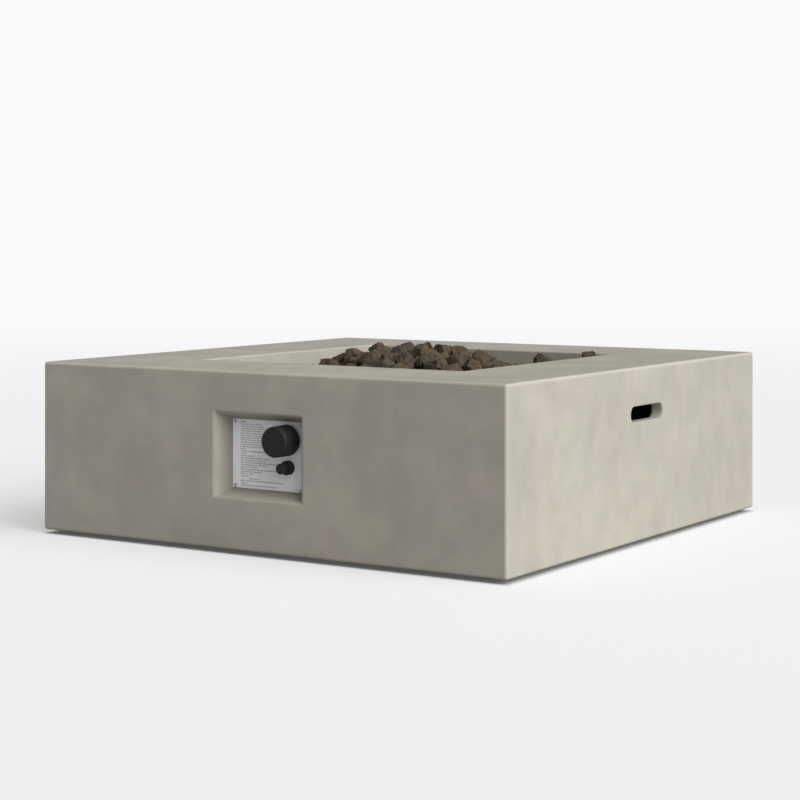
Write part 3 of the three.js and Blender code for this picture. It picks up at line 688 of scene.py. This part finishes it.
# ---------- machine screws ----------
# Four stainless pan-head screws with a cross recess hold the plate, in blind holes in the concrete.
# The heads are cold-headed, so their crowns are smooth and the recess has soft corners.
def finish(name, light, dark, patch, metallic, roughness, grain, relief, stretch=(1, 1, 1)):
    """A finish that drifts between two colours over patches, with a grain in its gloss and its
    relief. Patch and grain are in millimetres, roughness is a range and relief is in metres."""
    material, tree = new_material(name)
    place = add(tree, "ShaderNodeTexCoord").outputs["Object"]
    drawn = add(tree, "ShaderNodeMapping", {"Vector": place, "Scale": stretch}).outputs[0]
    drift = add(tree, "ShaderNodeTexNoise", {"Vector": place, "Scale": 1000 / patch, "Detail": 3})
    fine = add(tree, "ShaderNodeTexNoise", {"Vector": drawn, "Scale": 1000 / grain, "Detail": 2})
    tone = add(
        tree,
        "ShaderNodeMix",
        {0: drift.outputs["Fac"], 6: srgb(light), 7: srgb(dark)},
        data_type="RGBA",
    )
    gloss = add(
        tree,
        "ShaderNodeMapRange",
        {"Value": fine.outputs["Fac"], "To Min": roughness[0], "To Max": roughness[1]},
    )
    bump = add(
        tree,
        "ShaderNodeBump",
        {"Height": fine.outputs["Fac"], "Strength": 0.5, "Distance": relief},
    )
    surface = add(
        tree,
        "ShaderNodeBsdfPrincipled",
        {
            "Base Color": tone.outputs[2],
            "Metallic": metallic,
            "Roughness": gloss.outputs[0],
            "Normal": bump.outputs[0],
        },
    )
    add(tree, "ShaderNodeOutputMaterial", {"Surface": surface.outputs[0]})
    return material


def turned(name, profile, steps=64):
    """A piece turned about an axis along Y, from (radius, y) points that start and end on the axis
    or close on themselves."""
    lathe = bmesh.new()
    turns = [2 * math.pi * step / steps for step in range(steps)]
    rings = []
    for radius, y in profile:
        if radius < 1e-7:
            rings.append([lathe.verts.new((0, y, 0))])
        else:
            rings.append(
                [lathe.verts.new((radius * math.cos(t), y, radius * math.sin(t))) for t in turns]
            )
    pairs = list(zip(rings, rings[1:]))
    if len(rings[0]) > 1:
        pairs.append((rings[-1], rings[0]))
    for first, last in pairs:
        for i in range(steps):
            j = (i + 1) % steps
            if len(first) == 1:
                lathe.faces.new((first[0], last[i], last[j]))
            elif len(last) == 1:
                lathe.faces.new((first[i], last[0], first[j]))
            else:
                lathe.faces.new((first[i], last[i], last[j], first[j]))
    return shaped(name, lathe)


def bend(centre, radius, start, end, steps=8):
    """Points of an arc in a turning profile, from one angle to the other in degrees."""
    angles = [math.radians(start + (end - start) * step / steps) for step in range(steps + 1)]
    return [(centre[0] + radius * math.cos(a), centre[1] + radius * math.sin(a)) for a in angles]


HEAD_HEIGHT = 0.0020
SHANK_RADIUS = 0.002
SHANK_LENGTH = 0.013
RECESS = (0.0018, 0.00045, 0.0009)  # half length, half width and depth of each slot of the cross

# Stainless steel, cold-headed: a pale metal, dulled by the die, with faint smears over it.
stainless = finish("cold_headed_stainless", "#dcdbd6", "#c6c5c1", 4, 1, (0.5, 0.65), 0.8, 0.00002)
for number in range(1, 5):
    low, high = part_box(f"plate_screw_{number}")
    underhead = low.y + HEAD_HEIGHT
    head_radius = (high.x - low.x) / 2
    crown_radius = 2 * head_radius
    crown = bend((0, low.y + crown_radius), crown_radius, -90, -62, 6)
    profile = crown + [
        (head_radius, underhead - 0.0007),
        (head_radius, underhead),
        (SHANK_RADIUS, underhead),
        (SHANK_RADIUS, low.y + SHANK_LENGTH),
        (0, low.y + SHANK_LENGTH + 0.001),
    ]
    screw = turned(f"plate_screw_head_{number}", profile, 32)
    for half_a, half_b in (RECESS[:2], RECESS[1::-1]):
        outline = rounded(half_a, half_b, 0.0003, 2)
        depth = (low.y - 0.001, low.y + RECESS[2])
        carve(screw, lofted("recess", [[(a, y, b) for a, b in outline] for y in depth]))
    screw.location = ((low.x + high.x) / 2, 0, (low.z + high.z) / 2)
    soften(screw, 35)
    fit(screw, "base", "stainless_steel", stainless, f"plate_screw_{number}")


# ---------- control knob ----------
# A moulded black drum with a hub that grips the valve stem. It is pushed in and turned to
# light the burner. The mould gives it a slight taper, a soft front edge and an index groove.
KNOB_EDGE = 0.0035
KNOB_TAPER = 0.0004
KNOB_WALL = 0.0025
HUB_RADIUS = 0.0075
GROOVE = (0.0006, 0.006, 0.0005)  # half width, half length and depth

knob_low, knob_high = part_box("control_knob")
stem_low, stem_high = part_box("valve_stem")
knob_radius = (knob_high.x - knob_low.x) / 2
stem_radius = (stem_high.x - stem_low.x) / 2
front = knob_low.y
back = knob_high.y
socket_end = stem_low.y - GAP
rim_radius = knob_radius - KNOB_TAPER
knob_profile = [(0, front)]
knob_profile += bend((rim_radius - KNOB_EDGE, front + KNOB_EDGE), KNOB_EDGE, -90, 0)
knob_profile += [
    (knob_radius, back - 0.0006),
    (knob_radius - 0.0006, back),
    (knob_radius - KNOB_WALL, back),
    (knob_radius - KNOB_WALL - 0.0006, front + 0.004),
    (HUB_RADIUS + 0.0005, front + 0.004),
    (HUB_RADIUS, back - 0.001),
    (stem_radius + 0.0002, back - 0.001),
    (stem_radius + 0.0002, socket_end),
    (0, socket_end),
]
# Black ABS from a spark-eroded mould: a deep neutral black, dull satin. The mould's very fine
# texture is drawn coarser, at 0.6 mm, so that it shows.
black_abs = finish("satin_black_moulded_abs", "#18181a", "#141415", 12, 0, (0.58, 0.7), 0.6, 0.00003)
knob = turned("knob_drum", knob_profile, 96)
groove_z = rim_radius - KNOB_EDGE - GROOVE[1]
groove = [
    [(a, y, groove_z + b) for a, b in rounded(GROOVE[0], GROOVE[1], 0.0005, 3)]
    for y in (front - 0.001, front + GROOVE[2])
]
carve(knob, lofted("index_groove", groove))
knob.location = ((knob_low.x + knob_high.x) / 2, 0, (knob_low.z + knob_high.z) / 2)
soften(knob, 35)
fit(knob, "valve_turn", "black_plastic", black_abs, "control_knob")


# ---------- igniter ----------
# A push-button spark generator: a threaded black barrel with a moulded bezel that clamps on the
# plate, and a cap that pushes in against its spring.
EDGE = 0.0012
NECK_RADIUS = 0.0116
THREAD = 0.0015  # pitch
THREAD_DEPTH = 0.0008
THREAD_TURNS = 14
bezel_low, bezel_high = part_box("igniter_body")
cap_low, cap_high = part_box("igniter_button")
bezel_radius = (bezel_high.x - bezel_low.x) / 2
cap_radius = (cap_high.x - cap_low.x) / 2
bezel_back = plate_low.y - GAP
bore = cap_radius + 0.0004
bezel_profile = [(bore, bezel_low.y + EDGE)]
bezel_profile += bend((bore + EDGE, bezel_low.y + EDGE), EDGE, 180, 270, 4)
bezel_profile += bend((bezel_radius - 2 * EDGE, bezel_low.y + 2 * EDGE), 2 * EDGE, -90, 0)
bezel_profile += [(bezel_radius, bezel_back), (NECK_RADIUS, bezel_back)]
thread_start = bezel_back + 0.003
for turn in range(THREAD_TURNS):
    crest = thread_start + turn * THREAD
    bezel_profile += [(NECK_RADIUS, crest), (NECK_RADIUS - THREAD_DEPTH, crest + THREAD / 2)]
bezel_profile += [
    (NECK_RADIUS, thread_start + THREAD_TURNS * THREAD),
    (NECK_RADIUS, bezel_high.y - 0.001),
    (NECK_RADIUS - 0.001, bezel_high.y),
    (bore, bezel_high.y),
]
barrel = turned("igniter_barrel", bezel_profile)
barrel.location = ((bezel_low.x + bezel_high.x) / 2, 0, (bezel_low.z + bezel_high.z) / 2)
soften(barrel, 35)
fit(barrel, "base", "black_plastic", black_abs, "igniter_body")

dish = cap_low.y + 0.0006  # the finger dish in the face of the cap
cap_profile = [(0, dish), (cap_radius * 0.45, dish - 0.0002), (cap_radius * 0.7, cap_low.y)]
cap_profile += bend((cap_radius - EDGE, cap_low.y + EDGE), EDGE, -90, 0, 6)
cap_profile += [(cap_radius, cap_high.y), (0, cap_high.y)]
cap = turned("igniter_cap", cap_profile)
cap.location = ((cap_low.x + cap_high.x) / 2, 0, (cap_low.z + cap_high.z) / 2)
soften(cap, 35)
fit(cap, "igniter_press", "black_plastic", black_abs, "igniter_button")


# ---------- return springs ----------
# Coil springs of drawn stainless wire, with a dead turn closed up at each end. One returns the valve
# stem after a push and one returns the igniter's cap.
WIRE_RADII = {"valve_return_spring": 0.0007, "igniter_spring": 0.0006}
SPRING_TURNS = {"valve_return_spring": 7, "igniter_spring": 5}
WIRE_SIDES = 12
TURN_STEPS = 32


def coil(name, turns, radius, wire, start, end):
    """A wire wound about an axis along Y. Its pitch falls to a wire's width in the end turns."""
    spring = bmesh.new()
    count = turns * TURN_STEPS
    closed = 2 * wire * 0.98
    open_turns = turns - 2
    length = end - start - 2 * wire
    open_pitch = (length - 2 * closed) / open_turns
    height = start + wire
    rings = []
    for step in range(count + 1):
        around = 2 * math.pi * step / TURN_STEPS
        ring = []
        for side in range(WIRE_SIDES):
            turn = 2 * math.pi * side / WIRE_SIDES
            out = radius + wire * math.cos(turn)
            y = height + wire * math.sin(turn)
            ring.append(spring.verts.new((out * math.cos(around), y, out * math.sin(around))))
        rings.append(ring)
        dead = step < TURN_STEPS or step >= count - TURN_STEPS
        height += (closed if dead else open_pitch) / TURN_STEPS
    for first, last in zip(rings, rings[1:]):
        for i in range(WIRE_SIDES):
            j = (i + 1) % WIRE_SIDES
            spring.faces.new((first[i], first[j], last[j], last[i]))
    spring.faces.new(rings[0])
    spring.faces.new(rings[-1])
    return shaped(name, spring)


# Drawn spring wire: bright grey steel with fine lines along the wire.
spring_wire = finish("drawn_spring_wire", "#b9babb", "#a3a4a6", 6, 1, (0.26, 0.4), 0.6, 0.00001)
for node, joint in (("valve_return_spring", "knob_push"), ("igniter_spring", "igniter_push")):
    low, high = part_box(node)
    wire = WIRE_RADII[node]
    spring = coil(
        f"{node}_coil", SPRING_TURNS[node], (high.x - low.x) / 2 - wire, wire, low.y, high.y
    )
    spring.location = ((low.x + high.x) / 2, 0, (low.z + high.z) / 2)
    soften(spring, 60)
    fit(spring, "base", "stainless_steel", spring_wire, node)
    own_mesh(spring)


# ---------- lava rock ----------
# Crushed volcanic scoria heaped over the burner to spread the flame: broken lumps of 25 to 50 mm
# with flat fractures, worn edges and small gas pores, over a layer of finer crush in the pan.
BED_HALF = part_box("lava_rock_bed")[1].x - 0.001
EDGE_LEVEL = RIM - 0.030  # tops of the rocks near the wall of the well
HEAP_RADIUS = 0.205
HEAP_RISE = 0.047
CRUSH_DEPTH = 0.034  # of the crush, below the tops
CRUSH_CELLS = 90
CRUSH_ROUGHNESS = 0.005
CRUSH_LEAST = 0.004  # thickness
ROCK_SIZES = ((0.036, 0.052, 0.004), (0.024, 0.034, -0.002))  # least, most, allowed above the heap
CREST_ROCKS = 20
CREST_REACH = 0.16
CREST_SIZES = (0.038, 0.048)
CREST_TOP = 0.028  # above the rim, at the middle
CREST_FALL = 0.014  # from there to the edge of the crest
CREST_JITTER = 0.004
STRAYS = ((0.227, 0.149), (0.272, 0.272))  # as the raised stones of the part's own bed
STRAY_SIZE = 0.042
STRAY_TOP = 0.007
ROCK_KINDS = 22
TRIES = 90  # places tried for each rock
MISSES = 25  # in a row, before the well counts as full
BEDDED = 0.55  # of its radius, from the crush up to the middle of a rock
ROCK_TOP = 0.9  # of its radius, from its middle up to its top
ROCK_FILL = 1.12  # of the rock to its place, so that neighbours touch
SPACING = 0.86  # of the sum of two radii: rocks lie closer than balls do
TONES = ("#4b4239", "#433b35", "#514434", "#453f39", "#54483a")


def heap_level(x, y):
    """Height of the tops of the rocks."""
    away = np.minimum(np.hypot(x, y) / HEAP_RADIUS, 1)
    return EDGE_LEVEL + HEAP_RISE * np.cos(away * math.pi / 2) ** 0.4


def broken_lump(chance):
    """A block split by flat fractures, with worn edges and a rough skin, as points and triangles.
    Its furthest point is 1 from the middle along one axis."""
    count = int(chance.integers(9, 14))
    spiral = np.arange(count) + 0.5
    heights = 1 - 2 * spiral / count
    turns = spiral * math.pi * (1 + math.sqrt(5))
    around = np.sqrt(1 - heights**2)
    even = np.stack([around * np.cos(turns), around * np.sin(turns), heights], axis=1)
    normals = even + 0.24 * chance.normal(size=(count, 3))
    normals /= np.linalg.norm(normals, axis=1)[:, None]
    depths = chance.uniform(0.74, 0.98, count)
    lump = bmesh.new()
    bmesh.ops.create_cube(lump, size=2.4)
    for normal, depth in zip(normals, depths):
        split = bmesh.ops.bisect_plane(
            lump,
            geom=lump.verts[:] + lump.edges[:] + lump.faces[:],
            plane_co=normal * depth,
            plane_no=normal,
            clear_outer=True,
        )
        rim = [part for part in split["geom_cut"] if isinstance(part, bmesh.types.BMEdge)]
        bmesh.ops.edgeloop_fill(lump, edges=rim)
    bmesh.ops.remove_doubles(lump, verts=lump.verts, dist=0.16)
    bmesh.ops.dissolve_degenerate(lump, edges=lump.edges, dist=0.02)
    bmesh.ops.bevel(lump, geom=lump.edges[:], offset=0.09, segments=2, profile=0.5, affect="EDGES")
    bmesh.ops.triangulate(lump, faces=lump.faces)
    for longest in (0.5, 0.28, 0.2):
        long_edges = [edge for edge in lump.edges if edge.calc_length() > longest]
        bmesh.ops.subdivide_edges(lump, edges=long_edges, cuts=1)
        bmesh.ops.triangulate(lump, faces=lump.faces)
    bmesh.ops.remove_doubles(lump, verts=lump.verts, dist=0.012)
    bmesh.ops.recalc_face_normals(lump, faces=lump.faces)
    lump.normal_update()
    lump.verts.ensure_lookup_table()
    drift = Vector(chance.uniform(-20, 20, 3))
    points = []
    for vert in lump.verts:
        swell = noise.noise(vert.co * 1.9 + drift) * 0.08
        rough = noise.noise(vert.co * 5.5 + drift) * 0.055
        points.append(vert.co + vert.normal * (swell + rough))
    faces = np.array([[vert.index for vert in face.verts] for face in lump.faces])
    lump.free()
    points = np.array(points) * chance.uniform(0.86, 1.08, 3)
    return points / np.abs(points).max(), faces


def random_turn(chance):
    """A random rotation matrix."""
    q, r = np.linalg.qr(chance.normal(size=(3, 3)))
    return q * np.sign(np.diag(r))


def settle(chance, placed):
    """Fills the well with rocks, one range of sizes after another."""
    rocks = [list(rock) for rock in placed]
    for smallest, largest, allowed in ROCK_SIZES:
        drop_until_full(chance, rocks, smallest, largest, allowed)
    return rocks


def drop_until_full(chance, rocks, smallest, largest, allowed):
    """Adds rocks of one range of sizes. Of the places tried for a rock it takes the one that lies
    lowest under the wanted surface, and none is prouder of that surface than allowed."""
    misses = 0
    while misses < MISSES:
        size = chance.uniform(smallest, largest) / 2
        reach = BED_HALF - size
        xs, ys = chance.uniform(-reach, reach, (2, TRIES))
        level = heap_level(xs, ys)
        rest = level - CRUSH_DEPTH + BEDDED * size
        if rocks:
            others = np.array(rocks)
            apart = np.hypot(xs[:, None] - others[:, 0], ys[:, None] - others[:, 1])
            touch = SPACING * (size + others[:, 3])
            lift = np.sqrt(np.clip(touch**2 - apart**2, 0, None))
            on_top = np.where(apart < touch, others[:, 2] + lift, -1)
            rest = np.maximum(rest, on_top.max(axis=1))
        proud = rest + ROCK_TOP * size - level
        best = int(proud.argmin())
        if proud[best] > allowed:
            misses += 1
            continue
        misses = 0
        rocks.append([xs[best], ys[best], rest[best], size])


def lava(name, tone):
    """Scoria: dull brown-grey, redder where the iron rusted, with pores painted dark as painted
    shade, grit painted paler on its raised points as a painted highlight, and a rough surface
    that gives no shine. Pores of 1 to 3 mm and grit under 1 mm are both drawn coarser, so that
    they show from across the table."""
    material, tree = new_material(name)
    place = add(tree, "ShaderNodeTexCoord").outputs["Object"]
    drift = add(tree, "ShaderNodeTexNoise", {"Vector": place, "Scale": 34, "Detail": 4})
    rust = add(
        tree,
        "ShaderNodeMapRange",
        {"Value": drift.outputs["Fac"], "From Min": 0.5, "From Max": 0.68, "To Max": 0.55},
        interpolation_type="SMOOTHSTEP",
    )
    warmed = add(
        tree,
        "ShaderNodeMix",
        {0: rust.outputs[0], 6: srgb(tone), 7: srgb("#694f3a")},
        data_type="RGBA",
    )
    # The pores are painted dark: painted shade in the small holes.
    pores = add(tree, "ShaderNodeTexVoronoi", {"Vector": place, "Scale": 190, "Randomness": 1.0})
    pit = add(
        tree,
        "ShaderNodeMapRange",
        {"Value": pores.outputs["Distance"], "From Min": 0.34, "From Max": 0.12, "To Max": 0.65},
        interpolation_type="SMOOTHSTEP",
    )
    pores_with_painted_shade = add(
        tree,
        "ShaderNodeMix",
        {0: pit.outputs[0], 6: warmed.outputs[2], 7: srgb("#29241f")},
        data_type="RGBA",
    )
    grit = add(
        tree,
        "ShaderNodeTexNoise",
        {"Vector": place, "Scale": 210, "Detail": 5, "Roughness": 0.75},
    )
    grit_painted_highlight = add(
        tree,
        "ShaderNodeMapRange",
        {"Value": grit.outputs["Fac"], "From Min": 0.42, "From Max": 0.66, "To Max": 0.5},
    )
    # Raised grit is painted paler: a painted highlight on the tops of the bump.
    tone_out = add(
        tree,
        "ShaderNodeMix",
        {0: grit_painted_highlight.outputs[0], 6: pores_with_painted_shade.outputs[2], 7: srgb("#76695b")},
        data_type="RGBA",
    )
    rough_relief = add(
        tree,
        "ShaderNodeBump",
        {"Height": grit.outputs["Fac"], "Strength": 0.9, "Distance": 0.004},
    )
    pore_relief = add(
        tree,
        "ShaderNodeBump",
        {
            "Height": pit.outputs[0],
            "Strength": 0.6,
            "Distance": 0.0012,
            "Normal": rough_relief.outputs[0],
        },
        invert=True,
    )
    surface = add(
        tree,
        "ShaderNodeBsdfPrincipled",
        {"Base Color": tone_out.outputs[2], "Roughness": 0.93, "Normal": pore_relief.outputs[0]},
    )
    surface.inputs["Specular IOR Level"].default_value = 0.2
    add(tree, "ShaderNodeOutputMaterial", {"Surface": surface.outputs[0]})
    return material


def crush_layer():
    """The finer crush under the rocks: one rough closed layer from the pan's flange upwards."""
    steps = np.linspace(-BED_HALF, BED_HALF, CRUSH_CELLS + 1)
    bottom = pan_high.z + 0.0005
    layer = bmesh.new()
    roughness = random.Random(5)
    rows = []
    for y in steps:
        row = []
        for x in steps:
            top = float(heap_level(x, y)) - CRUSH_DEPTH
            top += roughness.uniform(-CRUSH_ROUGHNESS, CRUSH_ROUGHNESS)
            row.append(layer.verts.new((x, y, max(top, bottom + CRUSH_LEAST))))
        rows.append(row)
    for j in range(CRUSH_CELLS):
        for i in range(CRUSH_CELLS):
            layer.faces.new((rows[j][i], rows[j][i + 1], rows[j + 1][i + 1], rows[j + 1][i]))
    border = rows[0] + [row[-1] for row in rows[1:]] + rows[-1][-2::-1]
    border += [row[0] for row in rows[-2:0:-1]]
    base = [layer.verts.new((vert.co.x, vert.co.y, bottom)) for vert in border]
    for i in range(len(border)):
        j = (i + 1) % len(border)
        layer.faces.new((border[i], base[i], base[j], border[j]))
    layer.faces.new(base)
    return shaped("lava_crush", layer)


chance = np.random.default_rng(17)
lumps = [broken_lump(chance) for _ in range(ROCK_KINDS)]
# The crest of the heap: larger rocks laid evenly over it by a spiral, each a little higher or
# lower than the last. Two more have rolled off it.
placed = []
for number in range(CREST_ROCKS):
    away = CREST_REACH * math.sqrt((number + 0.5) / CREST_ROCKS)
    around = number * math.pi * (3 - math.sqrt(5))
    size = chance.uniform(*CREST_SIZES) / 2
    fall = CREST_FALL * (away / CREST_REACH) ** 2
    top = RIM + CREST_TOP - fall + chance.uniform(-CREST_JITTER, CREST_JITTER)
    placed.append((away * math.cos(around), away * math.sin(around), top - size, size))
for x, y in STRAYS:
    placed.append((x, y, RIM + STRAY_TOP - STRAY_SIZE / 2, STRAY_SIZE / 2))
rocks = settle(chance, placed)
groups = [[] for _ in TONES]
for number, (x, y, z, size) in enumerate(rocks):
    points, faces = lumps[number % ROCK_KINDS]
    points = points @ random_turn(chance).T * size * ROCK_FILL
    points += (x, y, z + size - points[:, 2].max())
    groups[int(chance.integers(len(TONES)))].append((points, faces))
for number, (tone, members) in enumerate(zip(TONES, groups), 1):
    all_points = []
    all_faces = []
    for points, faces in members:
        all_faces += (faces + len(all_points)).tolist()
        all_points += points.tolist()
    mesh = bpy.data.meshes.new(f"lava_rocks_{number}")
    mesh.from_pydata(all_points, [], all_faces)
    mesh.shade_smooth()
    mesh.set_sharp_from_angle(angle=math.radians(50))
    material = lava(f"broken_scoria_{number}", tone)
    fit(mesh_piece(f"lava_rocks_{number}", mesh), "base", "lava_rock", material, "lava_rock_bed")
fit(crush_layer(), "base", "lava_rock", lava("fine_scoria_crush", "#4b423c"), "lava_rock_bed")


# ---------- works inside ----------
# The gas train, burner, wiring and feet keep their own shapes. Each gets the finish of what it
# is made from.
by_slot = {
    # Zinc-plated steel: cool grey, slightly mottled by the plating.
    "galvanised_steel": finish("zinc_plated_steel", "#a3a5a8", "#8b8e92", 9, 1, (0.35, 0.55), 2, 0.00003),
    # Stainless sheet and tube with a rolled 2B surface.
    "stainless_steel": finish(
        "rolled_stainless", "#b4b4b4", "#a2a2a3", 40, 1, (0.28, 0.42), 1.2, 0.00001, (0.1, 1, 1)
    ),
    # Free-cutting brass: yellow metal with fine turning lines and some tarnish.
    "brass": finish("turned_brass", "#b9934f", "#99763a", 14, 1, (0.25, 0.42), 0.7, 0.00001, (1, 1, 4)),
    # Zinc die casting: dull grey with a slightly pebbled skin.
    "die_cast_zinc": finish("zinc_die_casting", "#97999b", "#828487", 11, 1, (0.45, 0.62), 1.5, 0.00006),
    "black_plastic": black_abs,
    # Alumina insulator with a clear glaze: off-white and glossy.
    "white_ceramic": finish("glazed_alumina", "#eeeae2", "#e2ddd2", 8, 0, (0.12, 0.2), 3, 0.00001),
    # Shrink sleeve on the cell: dark grey, glossy, with faint draw lines.
    "battery_wrap": finish("pvc_shrink_sleeve", "#4c5055", "#41454a", 15, 0, (0.2, 0.32), 2, 0.00001),
    # Silicone-rubber lead: brick red and slightly waxy.
    "lead_sleeve": finish("silicone_lead", "#b5472f", "#9e3c28", 20, 0, (0.45, 0.6), 1, 0.00002),
    # Drawn copper capillary, browned by handling.
    "copper": finish("drawn_copper", "#b06c43", "#8d5233", 12, 1, (0.28, 0.45), 1, 0.00001),
    # Synthetic rubber gas hose: charcoal, matt, with a light cloth print on its skin.
    "hose_rubber": finish("rubber_gas_hose", "#2a2b2d", "#202122", 18, 0, (0.65, 0.82), 1.5, 0.00006),
    "printed_plate": coated_sheet(),
}
slot_of = {part["node"]: part["material_slot"] for part in frame["record"]["subparts"]}
for name, node in frame["nodes"].items():
    if not node.hide_render:
        node.data.materials.clear()
        node.data.materials.append(by_slot[slot_of[name]])
